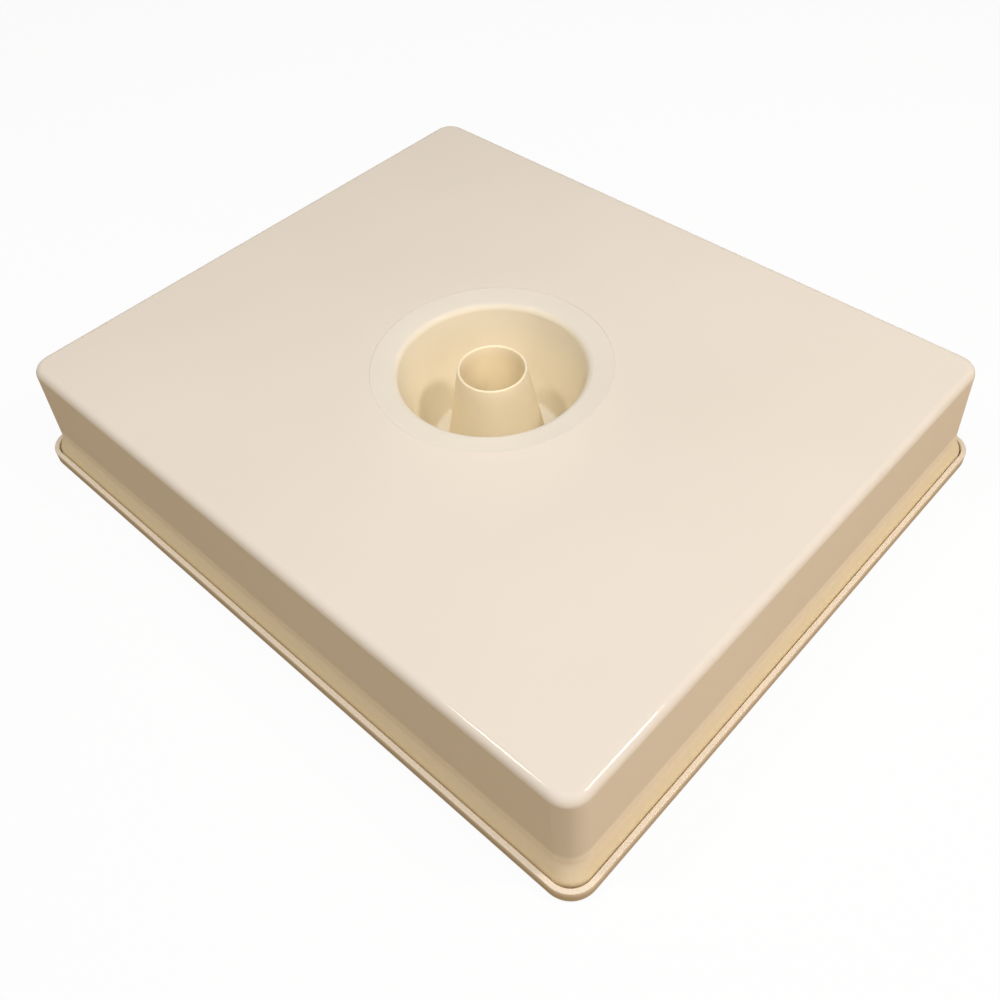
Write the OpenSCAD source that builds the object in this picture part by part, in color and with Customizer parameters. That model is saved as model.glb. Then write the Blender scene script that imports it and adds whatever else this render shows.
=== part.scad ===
// Hive top feeder: a shallow tray standing mouth down on its cover, with a
// chimney let into the tray's floor and a clear cup locked over the chimney.
// +Z is up, the origin is at the middle of the cover's outer face.

/* [Tray] */
// Length of the flat face, with its edges taken as sharp
tray_length = 481.4; // [300:0.2:600]
// Width of the flat face, with its edges taken as sharp
tray_width = 403.4; // [260:0.2:520]
// Height of the closed feeder
total_height = 84.6; // [80:0.2:120]
// Thickness of the walls and of the floor
wall_t = 2.5; // [1.6:0.1:4]
// Radius of the upright corners at the flat face
corner_r = 13; // [10:0.5:30]
// Rounding of the edge between the flat face and the walls
edge_r = 6; // [5:0.5:9]
// Angle by which the walls widen towards the mouth
draft = 1.5; // [0:0.25:2]
// Height at which the wall starts to flare towards the mouth
flare_top = 20; // [14:0.5:30]
// Height at which the flare ends
flare_low = 9; // [5:0.5:12]
// Outward reach of the flare
flare_w = 3; // [0.5:0.1:3.5]

/* [Cover] */
// Thickness of the cover's plate
lid_t = 2.6; // [1.6:0.1:4]
// Reach of the cover past the sharp edges of the flat face
lid_margin = 9.3; // [9.3:0.1:14]
// Thickness of the lip that stands round the tray's mouth
lip_t = 3.3; // [2:0.1:3.3]
// Height of the lip
lip_height = 9.8; // [7:0.2:16]
// Corner radius of the cover
lid_corner_r = 18; // [14:0.5:24]
// Rounding of the cover's lower edge
lid_foot_r = 1.4; // [0.5:0.1:2]
// Rounding of the lip's upper edges
lip_round = 0.8; // [0.3:0.1:1.2]
// Height of the bars that centre the tray's mouth
bar_height = 4; // [2:0.5:8]

/* [Chimney] */
// Width of the flange's inner lap behind the tray's floor
lap_w = 4; // [3:0.5:9]
// Rim of the lap outside the hooks
lap_margin = 4.7; // [2:0.1:8]
// Thickness of the inner lap
lap_t = 2; // [1.5:0.1:3]
// Depth of the shallow dish round the well
dish = 1.5; // [0:0.1:2.5]
// Radius of the well under its rounded lip
well_r = 62; // [58:0.5:64]
// Rounding of the well's lip
well_round = 5.5; // [1:0.5:6]
// Amount by which the well narrows towards its floor
well_taper = 17; // [6:0.5:18]
// Rounding at the foot of the well and of the tube, and under the lap
well_fillet = 3; // [1:0.5:4]
// Thickness of the chimney's wall and roof
chimney_t = 2.2; // [1.6:0.1:3]
// Outer radius of the tube at its rim
tube_r = 23.2; // [18:0.2:26]
// Amount by which the tube widens towards the well's floor
tube_flare = 10.8; // [4:0.1:11]
// Thickness of the tube's wall
tube_t = 1.8; // [1.4:0.1:2.4]
// Depth of the tube's rim below the flat face
tube_drop = 3.5; // [0:0.5:8]
// Length of the straight bore inside the rim
tube_land = 8; // [4:0.5:12]
// Number of grip rings on the chimney
grip_count = 9; // [4:1:12]
// Height of a grip ring above the chimney's wall
grip_h = 0.7; // [0.3:0.1:1.2]

/* [Cup] */
// Space between the chimney's wall and the cup's wall
cup_side_space = 8.2; // [7:0.1:12]
// Space between the cup's closed end and the cover
cup_clear = 1.8; // [1:0.2:16]
// Thickness of the cup's wall
cup_t = 1.6; // [1.2:0.1:2.2]
// Walking space between the chimney's roof and the cup
cup_space = 7; // [6:0.5:10]
// Rounding of the cup's closed end
cup_round = 5; // [3:0.5:8]
// Number of syrup slots in the cup's mouth
slot_count = 18; // [9:3:24]
// Width of a syrup slot
slot_w = 3.2; // [2:0.1:4]
// Height of a syrup slot
slot_h = 7; // [4:0.5:10]
// Number of locking lugs
lug_count = 3; // [2:1:4]
// Angle that a lug covers
lug_angle = 14; // [8:1:18]
// Reach of a lug past the cup's wall
lug_reach = 3; // [2:0.1:3.4]
// Thickness of a lug
lug_t = 2.4; // [1.6:0.1:3]
// Thickness of a hook's arm and of its shelf
hook_t = 2; // [1.6:0.1:2.6]

/* [Fits] */
// Gap at the joint between the tray's floor and the flange
bond_gap = 0.15; // [0.1:0.05:0.3]
// Gap between the turning cup and what holds it
turn_gap = 0.3; // [0.2:0.05:0.4]
// Gap between the tray's mouth and the cover's bars
bar_gap = 0.5; // [0.3:0.1:0.8]
// Amount by which a cut runs past the solid that it cuts
cut_over = 1; // [0.5:0.5:2]

/* [Hidden] */
$fn = 96;
arc_steps = 8;
ivory = [0.93, 0.87, 0.76];
clear = [0.86, 0.91, 0.93, 0.4];
bar_share = 0.6;
hook_over_share = 1.3;
floor_fillet_share = 0.4;

mouth_z = lid_t;
floor_z = total_height - wall_t;
lap_z = floor_z - lap_t;
cup_end_z = lid_t + cup_clear;
cup_inner_z = cup_end_z + cup_t;
roof_z = cup_inner_z + cup_space;
well_floor_z = roof_z + chimney_t;
well_floor_r = well_r - well_taper;
well_top_z = total_height - dish - well_round;
well_run = well_top_z - well_floor_z;
tube_base_r = tube_r + tube_flare;
floor_fillet = min(well_fillet, floor_fillet_share * (well_floor_r - tube_base_r));
tube_top_z = total_height - tube_drop;
edge_centre = [corner_r - edge_r, total_height - edge_r];
wall_side = wall_t / cos(draft);
tray_span = [tray_length - 2 * corner_r, tray_width - 2 * corner_r];
lid_size = [tray_length + 2 * lid_margin, tray_width + 2 * lid_margin];
lid_span = [lid_size.x - 2 * lid_corner_r, lid_size.y - 2 * lid_corner_r];
cup_mouth_z = lap_z - turn_gap;
cup_r = well_r + chimney_t + cup_side_space + cup_t;
lug_r = cup_r + lug_reach;
hook_r = lug_r + turn_gap + hook_t;
lap_r = hook_r + lap_margin;
flange_r = lap_r - lap_w;
hook_angle = lug_angle * hook_over_share;
gap_angle = turn_gap / cup_r * 180 / PI;
lug_z = cup_mouth_z - lug_t - turn_gap;
shelf_z = lug_z - turn_gap - hook_t;

// Points of an arc round c, from angle a to angle b
function arc(c, r, a, b) =
    [for (i = [0:arc_steps]) c + r * [cos(a + (b - a) * i / arc_steps), sin(a + (b - a) * i / arc_steps)]];

// Distance of the wall's outer face from the corner's axis at height z
function wall_r(z) =
    edge_centre.x + edge_r * cos(draft) + (edge_centre.y + edge_r * sin(draft) - z) * tan(draft);

// Radius of the well's wall at height z
function well_wall_r(z) =
    well_r - well_taper * (well_top_z - z) / well_run;

mouth_face = wall_r(mouth_z) + flare_w - corner_r - wall_side;
mouth_half = [tray_length / 2 + mouth_face, tray_width / 2 + mouth_face];

tray_profile = concat(
    [[0, total_height]],
    arc(edge_centre, edge_r, 90, draft),
    [
        [wall_r(flare_top), flare_top],
        [wall_r(flare_low) + flare_w, flare_low],
        [wall_r(mouth_z) + flare_w, mouth_z],
        [wall_r(mouth_z) + flare_w - wall_side, mouth_z],
        [wall_r(flare_low) + flare_w - wall_side, flare_low],
        [wall_r(flare_top) - wall_side, flare_top],
    ],
    arc(edge_centre, edge_r - wall_t, draft, 90),
    [[0, floor_z]]
);

lid_profile = concat(
    [[0, 0]],
    arc([lid_corner_r - lid_foot_r, lid_foot_r], lid_foot_r, -90, 0),
    arc([lid_corner_r - lip_round, lip_height - lip_round], lip_round, 0, 90),
    arc([lid_corner_r - lip_t + lip_round, lip_height - lip_round], lip_round, 90, 180),
    [[lid_corner_r - lip_t, lid_t], [0, lid_t]]
);

chimney_profile = concat(
    [[flange_r, total_height]],
    arc([well_r + well_round, well_top_z], well_round, 90, 180),
    arc([well_floor_r - floor_fillet, well_floor_z + floor_fillet], floor_fillet, 0, -90),
    arc([tube_base_r + floor_fillet, well_floor_z + floor_fillet], floor_fillet, -90, -180),
    arc([tube_r - tube_t / 2, tube_top_z - tube_t / 2], tube_t / 2, 0, 180),
    [
        [tube_r - tube_t, tube_top_z - tube_land],
        [tube_base_r - tube_t, roof_z],
    ],
    arc([well_floor_r + chimney_t - well_fillet, roof_z + well_fillet], well_fillet, -90, 0),
    arc([well_r + chimney_t + well_fillet, lap_z - well_fillet], well_fillet, 180, 90),
    [
        [lap_r, lap_z],
        [lap_r, floor_z],
        [flange_r, floor_z],
    ]
);

cup_profile = concat(
    [[0, cup_end_z]],
    arc([cup_r - cup_round, cup_end_z + cup_round], cup_round, -90, 0),
    [[cup_r, cup_mouth_z], [cup_r - cup_t, cup_mouth_z]],
    arc([cup_r - cup_round, cup_end_z + cup_round], cup_round - cup_t, 0, -90),
    [[0, cup_inner_z]]
);

// Carries a profile round a rectangle with round corners; x is measured outwards from the corner's axis
module frame_sweep(profile, span) {
    for (side = [0:3])
        rotate([0, 0, 90 * side]) {
            run = side % 2 == 0 ? span : [span.y, span.x];
            translate([run.x / 2, 0, 0])
                rotate([90, 0, 0])
                    linear_extrude(run.y, center = true)
                        polygon(profile);
            translate([run.x / 2, run.y / 2, 0])
                rotate_extrude(angle = 90)
                    polygon(profile);
        }
}

// A ring sector round the Z axis, from angle a on
module sector(inner, outer, z, height, a, sweep) {
    rotate([0, 0, a])
        rotate_extrude(angle = sweep)
            translate([inner, z])
                square([outer - inner, height]);
}

module tray() {
    color(ivory)
        difference() {
            union() {
                frame_sweep(tray_profile, tray_span);
                translate([-tray_span.x / 2, -tray_span.y / 2, floor_z])
                    cube([tray_span.x, tray_span.y, wall_t]);
            }
            translate([0, 0, floor_z - cut_over])
                cylinder(h = wall_t + 2 * cut_over, r = flange_r + bond_gap);
        }
}

module chimney() {
    color(ivory) {
        rotate_extrude()
            polygon(chimney_profile);
        grip_rings();
        for (i = [0:lug_count - 1])
            hook(i * 360 / lug_count);
    }
}

// Rings on the outside of the chimney that give a foothold
module grip_rings() {
    rise = (lap_z - roof_z) / (grip_count + 1);
    for (i = [1:grip_count]) {
        z = roof_z + i * rise;
        wall = well_wall_r(z) + chimney_t;
        rotate_extrude()
            polygon([
                [wall - chimney_t / 2, z - grip_h],
                [wall + grip_h, z],
                [wall - chimney_t / 2, z + grip_h],
            ]);
    }
}

// A hook rooted in the lap: an outer arm, a shelf below the lug and a stop at its closed end
module hook(a) {
    start = a - hook_angle / 2;
    stop_angle = (hook_angle - lug_angle) / 2;
    arm_h = lap_z - shelf_z + lap_t / 2;
    sector(hook_r - hook_t, hook_r, shelf_z, arm_h, start, hook_angle);
    sector(cup_r + turn_gap, hook_r, shelf_z, hook_t, start, hook_angle);
    sector(cup_r + turn_gap, hook_r, shelf_z, arm_h, start, stop_angle);
}

module cup() {
    color(clear) {
        difference() {
            rotate_extrude()
                polygon(cup_profile);
            for (i = [0:slot_count - 1])
                rotate([0, 0, (i + 0.5) * 360 / slot_count])
                    translate([cup_r - cup_t - cut_over, -slot_w / 2, cup_mouth_z - slot_h])
                        cube([cup_t + 2 * cut_over, slot_w, slot_h + cut_over]);
        }
        for (i = [0:lug_count - 1])
            sector(
                cup_r - cup_t / 2, lug_r, lug_z, lug_t,
                i * 360 / lug_count - lug_angle / 2 + gap_angle, lug_angle
            );
    }
}

module lid() {
    bar_at = [mouth_half.x - bar_gap - wall_t, mouth_half.y - bar_gap - wall_t];
    color(ivory) {
        frame_sweep(lid_profile, lid_span);
        translate([-lid_span.x / 2, -lid_span.y / 2, 0])
            cube([lid_span.x, lid_span.y, lid_t]);
        for (side = [0, 1])
            mirror([side, 0, 0])
                translate([bar_at.x, -bar_share * mouth_half.y, 0])
                    cube([wall_t, 2 * bar_share * mouth_half.y, lid_t + bar_height]);
        for (side = [0, 1])
            mirror([0, side, 0])
                translate([-bar_share * mouth_half.x, bar_at.y, 0])
                    cube([2 * bar_share * mouth_half.x, wall_t, lid_t + bar_height]);
    }
}

lid();
tray();
chimney();
cup();
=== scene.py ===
import math
import bmesh
import bpy
from mathutils import Matrix, Vector


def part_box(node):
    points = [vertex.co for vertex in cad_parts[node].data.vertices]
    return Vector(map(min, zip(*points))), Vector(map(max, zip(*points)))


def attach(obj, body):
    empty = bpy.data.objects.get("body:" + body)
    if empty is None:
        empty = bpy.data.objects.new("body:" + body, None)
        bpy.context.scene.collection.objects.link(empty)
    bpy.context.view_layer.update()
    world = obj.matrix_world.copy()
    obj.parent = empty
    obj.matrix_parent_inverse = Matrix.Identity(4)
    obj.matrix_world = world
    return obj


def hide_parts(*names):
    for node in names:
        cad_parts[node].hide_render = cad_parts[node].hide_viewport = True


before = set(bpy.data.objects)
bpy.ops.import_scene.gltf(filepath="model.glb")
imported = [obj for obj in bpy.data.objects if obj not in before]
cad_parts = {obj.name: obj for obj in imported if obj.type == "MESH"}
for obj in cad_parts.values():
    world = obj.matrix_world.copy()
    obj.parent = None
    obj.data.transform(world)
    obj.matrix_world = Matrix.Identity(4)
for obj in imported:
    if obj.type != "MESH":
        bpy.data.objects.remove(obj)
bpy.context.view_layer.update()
print("frame loaded:", len(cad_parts), "nodes")


# shaping helpers

shaping = {
    "roundSteps": 160,  # steps of a full turn
    "arcSteps": 8,
    "smoothAngle": 30,
    "seed": 0.001,  # plane that shrinks to an outline's first point
    "touching": 1e-6,
    "level": 1e-5,
    "facing": 0.9,  # least share of a normal that points the way asked for
}


def settle(name):
    # the new primitive's place, turn and size go into its mesh
    obj = bpy.context.object
    obj.name = name
    bpy.ops.object.transform_apply(location=True, rotation=True, scale=True)
    return obj


def addBox(name, place, size, turn=0.0):
    bpy.ops.object.select_all(action="DESELECT")
    bpy.ops.mesh.primitive_cube_add(size=1, location=place, rotation=(0, 0, turn), scale=size)
    return settle(name)


def selectOnly(obj, others=()):
    bpy.ops.object.select_all(action="DESELECT")
    for other in others:
        other.select_set(True)
    obj.select_set(True)
    bpy.context.view_layer.objects.active = obj


def endPiece(obj, smoothAngle=shaping["smoothAngle"]):
    bpy.ops.object.mode_set(mode="OBJECT")
    selectOnly(obj)
    bpy.ops.object.shade_smooth_by_angle(angle=math.radians(smoothAngle))
    return obj


def pick(kind, test):
    bpy.ops.mesh.select_mode(type=kind)
    bpy.ops.mesh.select_all(action="DESELECT")
    mesh = bpy.context.edit_object.data
    edit = bmesh.from_edit_mesh(mesh)
    for part in {"VERT": edit.verts, "EDGE": edit.edges, "FACE": edit.faces}[kind]:
        part.select_set(test(part))
    edit.select_flush_mode()
    bmesh.update_edit_mesh(mesh)


def pickVerts(test):
    pick("VERT", lambda vert: test(vert.co))


def pickEdges(test):
    pick("EDGE", lambda edge: test(edge.verts[0].co, edge.verts[1].co))


def pickFaces(test):
    pick("FACE", lambda face: test(face.normal))


def roundEdges(radius, steps):
    bpy.ops.mesh.bevel(offset=radius, segments=steps, profile=0.5, affect="EDGES")


def applyModifier(obj, kind, **settings):
    selectOnly(obj)
    modifier = obj.modifiers.new(kind.title(), kind)
    for key, value in settings.items():
        setattr(modifier, key, value)
    bpy.ops.object.modifier_apply(modifier=modifier.name)


def cutAway(obj, cutter):
    applyModifier(obj, "BOOLEAN", object=cutter, operation="DIFFERENCE", solver="EXACT")
    bpy.data.objects.remove(cutter)


def flattenShading(obj):
    # large faces stay flat beside their roundings
    applyModifier(obj, "WEIGHTED_NORMAL", keep_sharp=True, weight=100)


def joinInto(obj, others):
    selectOnly(obj, others)
    bpy.ops.object.join()


def arcPoints(centre, radius, fromAngle, toAngle, steps=shaping["arcSteps"]):
    points = []
    for i in range(steps + 1):
        a = math.radians(fromAngle + (toAngle - fromAngle) * i / steps)
        points.append((centre[0] + radius * math.cos(a), centre[1] + radius * math.sin(a)))
    return points


def spunPiece(name, outline, closed, steps=shaping["roundSteps"], sweep=360.0, start=0.0):
    # a plane shrinks to a point, which is drawn along the outline and spun round Z
    bpy.ops.object.select_all(action="DESELECT")
    bpy.ops.mesh.primitive_plane_add(size=shaping["seed"])
    obj = settle(name)
    bpy.ops.object.mode_set(mode="EDIT")
    bpy.ops.mesh.select_mode(type="VERT")
    bpy.ops.mesh.select_all(action="SELECT")
    bpy.ops.mesh.merge(type="CENTER")
    turn = Matrix.Rotation(math.radians(start), 3, "Z")
    path = [turn @ Vector((r, 0, z)) for r, z in outline]
    bpy.ops.transform.translate(value=path[0])
    for before, after in zip(path, path[1:]):
        bpy.ops.mesh.extrude_region_move(TRANSFORM_OT_translate={"value": after - before})
    if closed:
        ends = (path[0], path[-1])
        pickVerts(lambda co: min((co - end).length for end in ends) < shaping["touching"])
        bpy.ops.mesh.edge_face_add()
    bpy.ops.mesh.select_all(action="SELECT")
    bpy.ops.mesh.spin(
        steps=steps, angle=math.radians(sweep), center=(0, 0, 0), axis=(0, 0, 1),
        use_normal_flip=False,
    )
    bpy.ops.mesh.select_all(action="SELECT")
    bpy.ops.mesh.remove_doubles(threshold=shaping["touching"])
    if closed and sweep < 360:
        bpy.ops.mesh.fill_holes(sides=0)
        bpy.ops.mesh.select_all(action="SELECT")
    bpy.ops.mesh.normals_make_consistent(inside=False)
    return obj


# the tray: flat face, steep walls and a flare at the mouth

trayLook = {
    "length": 0.4814,
    "width": 0.4034,
    "topInset": 0.00033,
    "wall": 0.0025,
    "draft": 1.5,
    "cornerRadius": 0.0145,
    "cornerSteps": 14,
    "edgeRadius": 0.0055,
    "edgeSteps": 10,
    # height of each bend, and how far the wall steps out below it
    "flare": (
        (0.0240, 0.0),
        (0.0210, 0.0003),
        (0.0178, 0.0007),
        (0.0148, 0.0010),
        (0.0118, 0.0011),
        (0.0090, 0.0006),
    ),
    "flareSlack": 0.0005,
    "flangeHole": 0.08002,
    "holeDepth": 0.02,
}


def makeTray():
    look = trayLook
    low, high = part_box("tray")
    top = high[2]
    mouth = low[2]
    spread = (top - mouth) * math.tan(math.radians(look["draft"]))
    halfX = look["length"] / 2 - look["topInset"]
    halfY = look["width"] / 2 - look["topInset"]
    obj = addBox("trayShell", (0, 0, (top + mouth) / 2), (2 * halfX, 2 * halfY, top - mouth))
    bpy.ops.object.mode_set(mode="EDIT")

    # the lower face spreads for the draft and opens as the mouth
    pickFaces(lambda normal: normal.z < -shaping["facing"])
    spreadWalls(mouth, spread, halfX, halfY)
    bpy.ops.mesh.delete(type="ONLY_FACE")
    pickEdges(lambda a, b: abs(a.z - b.z) > look["edgeRadius"])
    roundEdges(look["cornerRadius"], look["cornerSteps"])
    pickEdges(lambda a, b: min(a.z, b.z) > top - shaping["level"])
    roundEdges(look["edgeRadius"], look["edgeSteps"])

    # the wall is cut at each bend, and all below it steps out
    for height, _ in look["flare"]:
        bpy.ops.mesh.select_all(action="SELECT")
        bpy.ops.mesh.bisect(plane_co=(0, 0, height), plane_no=(0, 0, 1))
    for height, reach in look["flare"]:
        pickVerts(lambda co: co.z < height + look["flareSlack"])
        spreadWalls(mouth, reach, halfX + spread, halfY + spread)
    bpy.ops.object.mode_set(mode="OBJECT")
    applyModifier(obj, "SOLIDIFY", thickness=look["wall"], offset=-1.0, use_even_offset=True)

    # round hole that the chimney's flange fills
    bpy.ops.object.select_all(action="DESELECT")
    bpy.ops.mesh.primitive_cylinder_add(
        vertices=shaping["roundSteps"], radius=look["flangeHole"], depth=look["holeDepth"],
        location=(0, 0, top),
    )
    cutAway(obj, settle("flangeCutter"))
    endPiece(obj)
    flattenShading(obj)
    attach(obj, "feeder")
    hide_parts("tray")
    print("tray:", len(obj.data.polygons), "faces")
    return obj


def spreadWalls(height, reach, halfX, halfY):
    bpy.ops.transform.resize(
        value=(1 + reach / halfX, 1 + reach / halfY, 1), center_override=(0, 0, height)
    )


# the cover: plate, lip and the bars that centre the mouth

lidLook = {
    "cornerRadius": 0.0172,
    "cornerSteps": 14,
    "lip": 0.0033,
    "lipSlack": 0.001,
    "plate": 0.0026,
    "lipRound": 0.0006,
    "footRound": 0.0014,
    "roundSteps": 4,
    "barTop": 0.0061,
    "barFoot": 0.0005,
    "barWidth": 0.0025,
    "barAt": (0.24019, 0.20119),
    "barHalf": (0.1459, 0.1225),
    "barRound": 0.0005,
    "barSteps": 2,
}


def makeLid():
    look = lidLook
    low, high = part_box("lid")
    size = [high[i] - low[i] for i in range(3)]
    lipTop = high[2]
    obj = addBox("coverPlate", (0, 0, lipTop / 2), size)
    bpy.ops.object.mode_set(mode="EDIT")
    pickEdges(lambda a, b: not isLevel(a, b))
    roundEdges(look["cornerRadius"], look["cornerSteps"])
    pickFaces(lambda normal: normal.z > shaping["facing"])
    bpy.ops.mesh.inset(thickness=look["lip"], use_even_offset=True)
    sink = (0, 0, look["plate"] - lipTop)
    bpy.ops.mesh.extrude_region_move(TRANSFORM_OT_translate={"value": sink})
    pickEdges(lambda a, b: isLipEdge(a, b, lipTop))
    roundEdges(look["lipRound"], look["roundSteps"])
    pickEdges(lambda a, b: max(a.z, b.z) < shaping["level"])
    roundEdges(look["footRound"], look["roundSteps"])
    endPiece(obj)
    flattenShading(obj)
    joinInto(obj, [makeBar(axis, side) for axis in (0, 1) for side in (-1, 1)])
    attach(obj, "cover")
    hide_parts("lid")
    print("cover:", len(obj.data.polygons), "faces")
    return obj


def isLevel(a, b):
    return abs(a.z - b.z) < shaping["level"]


def isLipEdge(a, b, lipTop):
    # edges along the lip's top, without the short ones that cross it
    crossesLip = abs((a - b).length - lidLook["lip"]) < lidLook["lipSlack"]
    return min(a.z, b.z) > lipTop - shaping["level"] and not crossesLip


def makeBar(axis, side):
    look = lidLook
    place = [0, 0, (look["barTop"] + look["barFoot"]) / 2]
    size = [0, 0, look["barTop"] - look["barFoot"]]
    place[axis] = side * (look["barAt"][axis] + look["barWidth"] / 2)
    size[axis] = look["barWidth"]
    size[1 - axis] = 2 * look["barHalf"][1 - axis]
    bar = addBox("coverBar", place, size)
    bpy.ops.object.mode_set(mode="EDIT")
    pickFaces(lambda normal: normal.z > shaping["facing"])
    roundEdges(look["barRound"], look["barSteps"])
    return endPiece(bar)


# the chimney: flange, well, tube, roof, grip rings and hooks

chimneyLook = {
    "flange": 0.080,
    "edgeBreak": 0.0002,
    "lap": 0.004,
    "lapThick": 0.002,
    "dishDepth": 0.0015,
    "dishAt": 0.0735,
    "dishShare": 0.38,  # share of the dish's depth that is reached at dishAt
    "well": 0.062,
    "wellRound": 0.0055,
    "wellRoundSteps": 12,
    "wellDepth": 0.0694,
    "wellFloor": 0.045,
    "fillet": 0.003,
    "wall": 0.0022,
    "tubeRim": 0.0232,
    "tubeBase": 0.034,
    "tubeWall": 0.0018,
    "tubeDrop": 0.0035,
    "tubeLand": 0.008,
    "gripCount": 9,
    "gripHeight": 0.0007,
    "hookCount": 3,
    "hookAngle": 18.2,
    "hookSteps": 8,
    "hookInner": 0.0743,
    "hookOuter": 0.0793,
    "hookThick": 0.002,
    "hookDrop": 0.0053,
    "hookSink": 0.001,  # how far a hook runs into the lap
    "stopAngle": 2.1,
    "stopSteps": 2,
    "stopInset": 0.0005,
    "smoothAngle": 40,
}


def makeChimney():
    look = chimneyLook
    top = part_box("chimney")[1][2]
    floorIn = top - trayLook["wall"]
    lapZ = floorIn - look["lapThick"]
    wellZ = top - look["wellDepth"]
    roofZ = wellZ - look["wall"]
    outline = flangePoints(look, top, floorIn)
    outline += wellPoints(look, top, wellZ)
    outline += tubePoints(look, top - look["tubeDrop"], roofZ)
    outline += undersidePoints(look, roofZ, lapZ)
    outline += [
        (look["flange"] + look["lap"], lapZ),
        (look["flange"] + look["lap"], floorIn),
    ]
    obj = spunPiece("chimneyWell", outline, True)
    endPiece(obj, look["smoothAngle"])
    hooks = []
    for i in range(look["hookCount"]):
        hooks += makeHook(look, i * 360 / look["hookCount"], lapZ)
    joinInto(obj, hooks)
    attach(obj, "feeder")
    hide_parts("chimney")
    print("chimney:", len(obj.data.polygons), "faces")
    return obj


def flangePoints(look, top, floorIn):
    edge = look["flange"]
    return [
        (edge, floorIn),
        (edge, top - look["edgeBreak"]),
        (edge - look["edgeBreak"], top),
        (look["dishAt"], top - look["dishShare"] * look["dishDepth"]),
    ]


def wellPoints(look, top, wellZ):
    fillet = look["fillet"]
    bend = look["wellRound"]
    lipZ = top - look["dishDepth"] - bend
    points = arcPoints((look["well"] + bend, lipZ), bend, 90, 180, look["wellRoundSteps"])
    points += arcPoints((look["wellFloor"] - fillet, wellZ + fillet), fillet, 0, -90)
    points += arcPoints((look["tubeBase"] + fillet, wellZ + fillet), fillet, -90, -180)
    return points


def tubePoints(look, rimZ, roofZ):
    half = look["tubeWall"] / 2
    points = arcPoints((look["tubeRim"] - half, rimZ - half), half, 0, 180)
    points.append((look["tubeRim"] - look["tubeWall"], rimZ - look["tubeLand"]))
    points.append((look["tubeBase"] - look["tubeWall"], roofZ))
    return points


def undersidePoints(look, roofZ, lapZ):
    fillet = look["fillet"]
    grip = look["gripHeight"]
    low = Vector((look["wellFloor"] + look["wall"], roofZ + fillet))
    high = Vector((look["well"] + look["wall"], lapZ - fillet))
    points = arcPoints((low.x - fillet, low.y), fillet, -90, 0)
    rise = (lapZ - roofZ) / (look["gripCount"] + 1)
    for i in range(1, look["gripCount"] + 1):
        for height, reach in ((-grip, 0), (0, grip), (grip, 0)):
            z = roofZ + i * rise + height
            share = (z - low.y) / (high.y - low.y)
            points.append((low.x + share * (high.x - low.x) + reach, z))
    points += arcPoints((high.x + fillet, high.y), fillet, 180, 90)
    return points


def makeHook(look, angle, lapZ):
    inner = look["hookInner"]
    outer = look["hookOuter"]
    thick = look["hookThick"]
    shelfZ = lapZ - look["hookDrop"]
    rootZ = lapZ + look["hookSink"]
    inset = look["stopInset"]
    start = angle - look["hookAngle"] / 2
    arm = [
        (outer, shelfZ),
        (outer, rootZ),
        (outer - thick, rootZ),
        (outer - thick, shelfZ + thick),
        (inner, shelfZ + thick),
        (inner, shelfZ),
    ]
    stop = [
        (outer - inset, shelfZ + inset),
        (outer - inset, rootZ),
        (inner, rootZ),
        (inner, shelfZ + inset),
    ]
    return [
        endPiece(spunPiece("hookArm", arm, True, look["hookSteps"], look["hookAngle"], start)),
        endPiece(spunPiece("hookStop", stop, True, look["stopSteps"], look["stopAngle"], start)),
    ]


# the clear cup: walls, syrup slots and lugs

cupLook = {
    "radius": 0.074,
    "wall": 0.0016,
    "round": 0.005,
    "roundSteps": 180,
    "slots": 18,
    "slotWidth": 0.0032,
    "slotHeight": 0.007,
    "slotCut": 0.0064,
    "lugCount": 3,
    "lugAngle": 14.0,
    "lugSteps": 8,
    "lugReach": 0.003,
    "lugThick": 0.0024,
    "lugDrop": 0.0003,
    "lugTurn": 0.232,
    "smoothAngle": 35,
}


def makeCup():
    look = cupLook
    low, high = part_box("cup")
    endZ = low[2]
    mouthZ = high[2]
    middle = (look["radius"] - look["round"], endZ + look["round"])
    outline = [(0, endZ)]
    outline += arcPoints(middle, look["round"], -90, 0)
    outline += [(look["radius"], mouthZ), (look["radius"] - look["wall"], mouthZ)]
    outline += arcPoints(middle, look["round"] - look["wall"], 0, -90)
    outline += [(0, endZ + look["wall"])]
    obj = spunPiece("clearCup", outline, False, look["roundSteps"])
    endPiece(obj, look["smoothAngle"])
    slots = [makeSlot(look, (i + 0.5) * 360 / look["slots"], mouthZ) for i in range(look["slots"])]
    joinInto(slots[0], slots[1:])
    cutAway(obj, slots[0])
    endPiece(obj, look["smoothAngle"])
    lugs = [makeLug(look, i * 360 / look["lugCount"], mouthZ) for i in range(look["lugCount"])]
    joinInto(obj, lugs)
    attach(obj, "cup")
    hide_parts("cup")
    print("cup:", len(obj.data.polygons), "faces")
    return obj


def makeSlot(look, angle, mouthZ):
    # a cutter that stands half above the mouth
    turn = math.radians(angle)
    place = (look["radius"] * math.cos(turn), look["radius"] * math.sin(turn), mouthZ)
    return addBox("slotCutter", place, (look["slotCut"], look["slotWidth"], 2 * look["slotHeight"]), turn)


def makeLug(look, angle, mouthZ):
    top = mouthZ - look["lugDrop"]
    foot = top - look["lugThick"]
    inner = look["radius"] - look["wall"] / 2
    outer = look["radius"] + look["lugReach"]
    outline = [(inner, top), (outer, top), (outer, foot), (inner, foot)]
    start = angle - look["lugAngle"] / 2 + look["lugTurn"]
    return endPiece(spunPiece("cupLug", outline, True, look["lugSteps"], look["lugAngle"], start))


# finishes

def feed(node, inputs):
    # an input takes a plain value or another node's output
    for socket, value in inputs.items():
        if isinstance(value, bpy.types.NodeSocket):
            node.id_data.links.new(value, node.inputs[socket])
        else:
            node.inputs[socket].default_value = value


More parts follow.
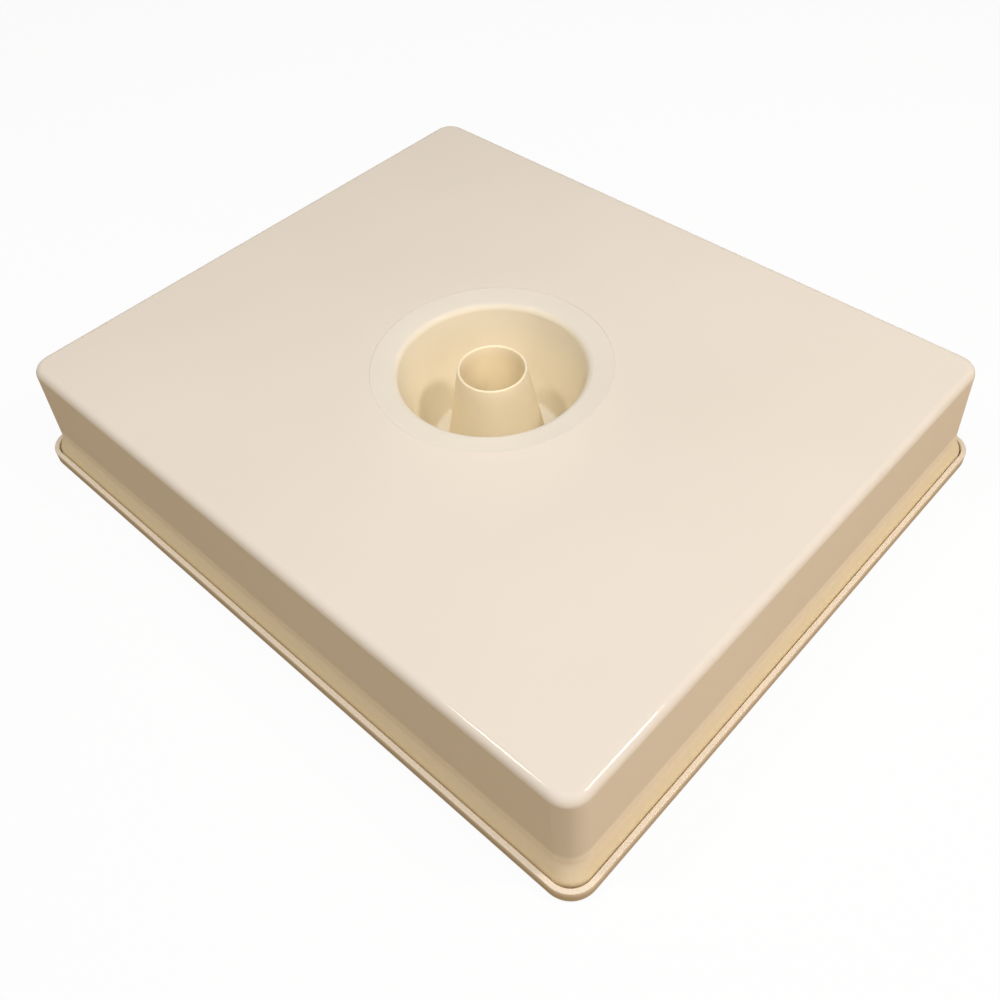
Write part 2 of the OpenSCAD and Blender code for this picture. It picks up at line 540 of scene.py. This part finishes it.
def addNode(tree, kind, inputs, **settings):
    node = tree.nodes.new("ShaderNode" + kind)
    for key, value in settings.items():
        setattr(node, key, value)
    feed(node, inputs)
    return node


def opaque(shade):
    return (*shade, 1)


def noise(tree, place, scale, detail):
    return addNode(tree, "TexNoise", {"Vector": place, "Scale": scale, "Detail": detail}).outputs["Fac"]


def rescale(tree, value, fromRange, toRange, **settings):
    ends = {
        "Value": value,
        "From Min": fromRange[0],
        "From Max": fromRange[1],
        "To Min": toRange[0],
        "To Max": toRange[1],
    }
    return addNode(tree, "MapRange", ends, **settings).outputs["Result"]


def shadeRamp(tree, value, stops):
    ramp = addNode(tree, "ValToRGB", {"Fac": value})
    elements = ramp.color_ramp.elements
    while len(elements) < len(stops):
        elements.new(0.5)
    for element, (position, shade) in zip(elements, stops):
        element.position = position
        element.color = opaque(shade)
    return ramp.outputs["Color"]


def blendShades(tree, share, under, over):
    shades = {"Factor": share, "A": under, "B": over}
    return addNode(tree, "Mix", shades, data_type="RGBA").outputs["Result"]


def blendShaders(tree, share, under, over):
    return addNode(tree, "MixShader", {"Fac": share, 1: under, 2: over}).outputs["Shader"]


def newMaterial(name):
    material = bpy.data.materials.new(name)
    material.use_nodes = True
    tree = material.node_tree
    place = addNode(tree, "TexCoord", {}).outputs["Object"]
    return material, tree, place, tree.nodes["Principled BSDF"]


def paintWellLight(tree, place, tone, look):
    # painted light: the well is painted a lighter, warmer shade than the flange, and the tube lighter
    # still, standing in for light through the thin plastic and bounce light in the well
    axes = addNode(tree, "SeparateXYZ", {"Vector": place}).outputs
    flat = addNode(tree, "CombineXYZ", {"X": axes["X"], "Y": axes["Y"]}).outputs["Vector"]
    reach = addNode(tree, "VectorMath", {0: flat}, operation="LENGTH").outputs["Value"]
    inWell = rescale(tree, reach, look["wellRadius"], (1, 0))
    inTube = rescale(tree, reach, look["tubeRadius"], (1, 0))
    tone = blendShades(tree, inWell, tone, opaque(look["paintedWellLight"]))
    tone = blendShades(tree, inTube, tone, opaque(look["paintedTubeLight"]))
    return tone, inTube


def paintLowReflectionAndShade(tree, place, tone, look):
    # painted light low down, given by height: on the tray a lighter band painted as the reflection of the
    # cover's lip, growing darker and yellower towards the crease as painted shade; on the cover painted
    # shade on the lip's outer face
    height = addNode(tree, "SeparateXYZ", {"Vector": place}).outputs["Z"]
    reach = look["paintedLowHeight"][1]
    isLow = rescale(tree, height, look["paintedLowHeight"], (1, 0), interpolation_type="SMOOTHSTEP")
    stops = [(z / reach, shade) for z, shade in look["paintedLowTones"]]
    shades = shadeRamp(tree, rescale(tree, height, (0, reach), (0, 1)), stops)
    return blendShades(tree, isLow, tone, shades)


def ivoryPlastic(name, look):
    # moulded plastic: slow drift of tone, fine grain in the gloss, faint waviness
    material, tree, place, shader = newMaterial(name)
    drift = noise(tree, place, look["driftScale"], look["driftDetail"])
    tone = shadeRamp(tree, drift, tuple(zip(look["driftStops"], (look["deep"], look["light"]))))
    # painted light in the well and the tube
    if "paintedWellLight" in look:
        tone, inTube = paintWellLight(tree, place, tone, look)
    # painted reflection and painted shade low down
    if "paintedLowTones" in look:
        tone = paintLowReflectionAndShade(tree, place, tone, look)

    grain = noise(tree, place, look["grainScale"], look["grainDetail"])
    gloss = rescale(tree, grain, (0, 1), look["roughness"])
    wave = noise(tree, place, look["waveScale"], look["waveDetail"])
    ripple = addNode(tree, "Bump", {
        "Height": wave, "Strength": look["waveStrength"], "Distance": look["waveHeight"],
    }).outputs["Normal"]
    fine = addNode(tree, "Bump", {
        "Height": grain, "Strength": look["grainStrength"], "Distance": look["grainHeight"],
        "Normal": ripple,
    }).outputs["Normal"]

    # an even share of gloss, so that the walls keep their colour at flat angles
    feed(shader, {"Base Color": tone, "Roughness": gloss, "Normal": fine, "Specular IOR Level": 0})
    sheen = addNode(tree, "BsdfGlossy", {"Roughness": gloss, "Normal": fine}).outputs["BSDF"]
    surface = blendShaders(tree, look["gloss"], shader.outputs["BSDF"], sheen)
    if "through" in look:
        # the thin tube lets light through
        through = addNode(tree, "BsdfTranslucent", {"Color": opaque(look["paintedTubeLight"])}).outputs["BSDF"]
        share = rescale(tree, inTube, (0, 1), (0, look["through"]))
        surface = blendShaders(tree, share, surface, through)
    feed(tree.nodes["Material Output"], {"Surface": surface})
    return material


def clearPlastic(name, look):
    # clear plastic with a faint haze, denser where it is seen edge on
    material, tree, place, shader = newMaterial(name)
    haze = noise(tree, place, look["hazeScale"], look["hazeDetail"])
    feed(shader, {
        "Base Color": shadeRamp(tree, haze, ((0, look["deep"]), (1, look["light"]))),
        "Roughness": rescale(tree, haze, (0, 1), look["roughness"]),
        "IOR": look["ior"],
    })
    clear = addNode(tree, "BsdfTransparent", {"Color": opaque(look["light"])}).outputs["BSDF"]
    edgeOn = addNode(tree, "LayerWeight", {"Blend": look["rimBlend"]}).outputs["Facing"]
    share = rescale(tree, edgeOn, (0, 1), look["body"])
    surface = blendShaders(tree, share, clear, shader.outputs["BSDF"])
    feed(tree.nodes["Material Output"], {"Surface": surface})
    return material


def dress(obj, material):
    obj.data.materials.clear()
    obj.data.materials.append(material)


baseFinish = {
    "deep": (0.82, 0.73, 0.615),
    "light": (0.85, 0.76, 0.645),
    "driftScale": 5,
    "driftDetail": 3,
    "driftStops": (0.3, 0.7),
    "gloss": 0.02,
    "roughness": (0.05, 0.1),
    "grainScale": 420,
    "grainDetail": 4,
    "grainStrength": 0.02,
    "grainHeight": 0.0001,
    "waveScale": 22,
    "waveDetail": 1,
    "waveStrength": 0.012,
    "waveHeight": 0.001,
}
trayFinish = dict(
    baseFinish,
    # painted reflection of the cover's lip: a lighter band on the lower wall, darker and yellower towards
    # the crease as painted shade
    paintedLowHeight=(0.0270, 0.0320),
    paintedLowTones=(
        (0.010, (0.90, 0.76, 0.50)),
        (0.016, (0.88, 0.75, 0.515)),
        (0.022, (0.965, 0.845, 0.66)),
        (0.026, (1.0, 0.915, 0.775)),
    ),
)
chimneyFinish = dict(
    baseFinish,
    deep=(0.805, 0.73, 0.617),
    light=(0.835, 0.76, 0.647),
    driftScale=16,
    # painted light: the well and the tube are painted lighter and warmer than the flange
    wellRadius=(0.0625, 0.0655),
    paintedWellLight=(0.94, 0.85, 0.67),
    tubeRadius=(0.032, 0.035),
    paintedTubeLight=(1.0, 0.92, 0.735),
    through=0.35,
)
coverFinish = dict(
    baseFinish,
    deep=(0.83, 0.715, 0.56),
    light=(0.87, 0.755, 0.60),
    driftScale=11,
    # painted shade: the lip's outer face is darker low down
    paintedLowHeight=(0.0045, 0.0085),
    paintedLowTones=(
        (0.002, (0.64, 0.53, 0.405)),
        (0.006, (0.62, 0.51, 0.385)),
    ),
    roughness=(0.16, 0.24),
    waveStrength=0.004,
    grainStrength=0.005,
)
cupFinish = {
    "deep": (0.86, 0.90, 0.92),
    "light": (0.95, 0.97, 0.98),
    "hazeScale": 60,
    "hazeDetail": 5,
    "roughness": (0.03, 0.09),
    "ior": 1.49,
    "rimBlend": 0.25,
    "body": (0.1, 0.5),
}

tray = makeTray()
cover = makeLid()
chimney = makeChimney()
cup = makeCup()
dress(tray, ivoryPlastic("trayIvory", trayFinish))
dress(cover, ivoryPlastic("coverIvory", coverFinish))
dress(chimney, ivoryPlastic("chimneyIvory", chimneyFinish))
dress(cup, clearPlastic("cupClear", cupFinish))
print("finishes set")


# floor, light and camera

studio = {
    "floorSize": 30.0,
    "floorDrop": 0.0002,
    "floorBounce": (0.48, 0.35, 0.14),
    "floorShade": (0.9, 0.9, 0.9),
    "floorGlow": 0.92,  # share of the floor's white that takes no shadow
    "white": (1, 1, 1),
    "skyStrength": 0.22,
    "skyTone": (1, 0.9, 0.78),
}


def makeFloor():
    bpy.ops.object.select_all(action="DESELECT")
    bpy.ops.mesh.primitive_plane_add(size=studio["floorSize"], location=(0, 0, -studio["floorDrop"]))
    floor = settle("floor")
    material = bpy.data.materials.new("paleFloor")
    material.use_nodes = True
    tree = material.node_tree
    tree.nodes.clear()

    # white to the camera and in reflections, warm in the light that it throws back
    rays = addNode(tree, "LightPath", {}).outputs
    seen = larger(tree, rays["Is Camera Ray"], rays["Is Glossy Ray"])
    seen = larger(tree, seen, rays["Is Transmission Ray"])
    bounce = addNode(tree, "BsdfDiffuse", {"Color": opaque(studio["floorBounce"])}).outputs["BSDF"]
    shade = addNode(tree, "BsdfDiffuse", {"Color": opaque(studio["floorShade"])}).outputs["BSDF"]
    glow = addNode(tree, "Emission", {"Color": opaque(studio["white"]), "Strength": 1}).outputs["Emission"]
    pale = blendShaders(tree, studio["floorGlow"], shade, glow)
    addNode(tree, "OutputMaterial", {"Surface": blendShaders(tree, seen, bounce, pale)})
    dress(floor, material)


def larger(tree, a, b):
    return addNode(tree, "Math", {0: a, 1: b}, operation="MAXIMUM").outputs["Value"]


def makeWorld():
    world = bpy.data.worlds.new("softRoom")
    bpy.context.scene.world = world
    world.use_nodes = True
    tree = world.node_tree
    seen = addNode(tree, "LightPath", {}).outputs["Is Camera Ray"]
    feed(tree.nodes["Background"], {
        "Color": blendShades(tree, seen, opaque(studio["skyTone"]), opaque(studio["white"])),
        "Strength": rescale(tree, seen, (0, 1), (studio["skyStrength"], 1)),
    })


# a lamp with a cone is a spot, and one that isn't mirrored leaves no highlight
spotPlace = (0.73, -0.73, 1.3)
lamps = {
    "above": {
        "place": (0.34, -0.28, 1.85), "aim": (0, 0, 0.05), "size": 1.0,
        "watts": 13.9, "colour": (0.73, 0.83, 1), "mirrored": False,
    },
    "low": {
        "place": (1.45, -0.45, 0.5), "aim": (0.2, 0, 0.04), "size": 0.9,
        "watts": 3.6, "colour": (1, 0.86, 0.8), "mirrored": False,
    },
    "well": {
        "place": spotPlace, "aim": (0, 0, 0.06), "size": 0.1,
        "watts": 26, "colour": (1, 0.9, 0.76), "cone": 4.6,
    },
    "bore": {
        "place": spotPlace, "aim": (-0.004, 0.004, 0.076), "size": 0.02,
        "watts": 80, "colour": (1, 0.9, 0.74), "cone": 1.5,
    },
    "foot": {
        "place": spotPlace, "aim": (0.022, -0.022, 0.056), "size": 0.02,
        "watts": 11, "colour": (1, 0.9, 0.74), "cone": 1.7,
    },
    "left": {
        "place": (-0.32, -0.62, 1.32), "aim": (0, 0, 0.05), "size": 0.2,
        "watts": 4.5, "colour": (1, 0.94, 0.84),
    },
    "right": {
        "place": (0.87, 0.38, 1.21), "aim": (0, 0, 0.05), "size": 0.2,
        "watts": 7.2, "colour": (1, 0.93, 0.84),
    },
}


def makeLamps():
    for name, look in lamps.items():
        if "cone" in look:
            data = bpy.data.lights.new(name, "SPOT")
            data.spot_size = math.radians(look["cone"])
            data.spot_blend = 1.0
            data.shadow_soft_size = look["size"] / 2
        else:
            data = bpy.data.lights.new(name, "AREA")
            data.shape = "DISK"
            data.size = look["size"]
        data.energy = look["watts"]
        data.color = look["colour"]
        lamp = bpy.data.objects.new(name, data)
        bpy.context.scene.collection.objects.link(lamp)
        lamp.location = look["place"]
        lamp.visible_glossy = look.get("mirrored", True)
        aim = Vector(look["aim"]) - Vector(look["place"])
        lamp.rotation_euler = aim.to_track_quat("-Z", "Y").to_euler()


photoView = {
    "azimuth": 45.377,
    "elevation": 47.122,
    "roll": -3.749,
    "place": (0.38656, -0.36760, 0.55799),
    "sensorWidth": 36.0,
    "focalPixels": 1089.16,
    "middlePixel": (513.86, 468.13),
    "imagePixels": 1000.0,
}


def makeCamera():
    view = photoView
    a = math.radians(view["azimuth"])
    e = math.radians(view["elevation"])
    roll = math.radians(view["roll"])
    back = Vector((math.sin(a) * math.cos(e), -math.cos(a) * math.cos(e), math.sin(e)))
    right = Vector((0, 0, 1)).cross(back).normalized()
    up = back.cross(right)
    rolledRight = math.cos(roll) * right + math.sin(roll) * up
    rolledUp = math.cos(roll) * up - math.sin(roll) * right
    data = bpy.data.cameras.new("photoCamera")
    data.sensor_width = view["sensorWidth"]
    data.lens = view["focalPixels"] / view["imagePixels"] * data.sensor_width
    half = view["imagePixels"] / 2
    data.shift_x = (half - view["middlePixel"][0]) / view["imagePixels"]
    data.shift_y = (view["middlePixel"][1] - half) / view["imagePixels"]
    camera = bpy.data.objects.new("photoCamera", data)
    bpy.context.scene.collection.objects.link(camera)
    turn = Matrix((rolledRight, rolledUp, back)).transposed().to_4x4()
    camera.matrix_world = Matrix.Translation(view["place"]) @ turn
    bpy.context.scene.camera = camera


makeFloor()
makeWorld()
makeLamps()
makeCamera()
bpy.context.scene.view_settings.view_transform = "Standard"
print("studio set")
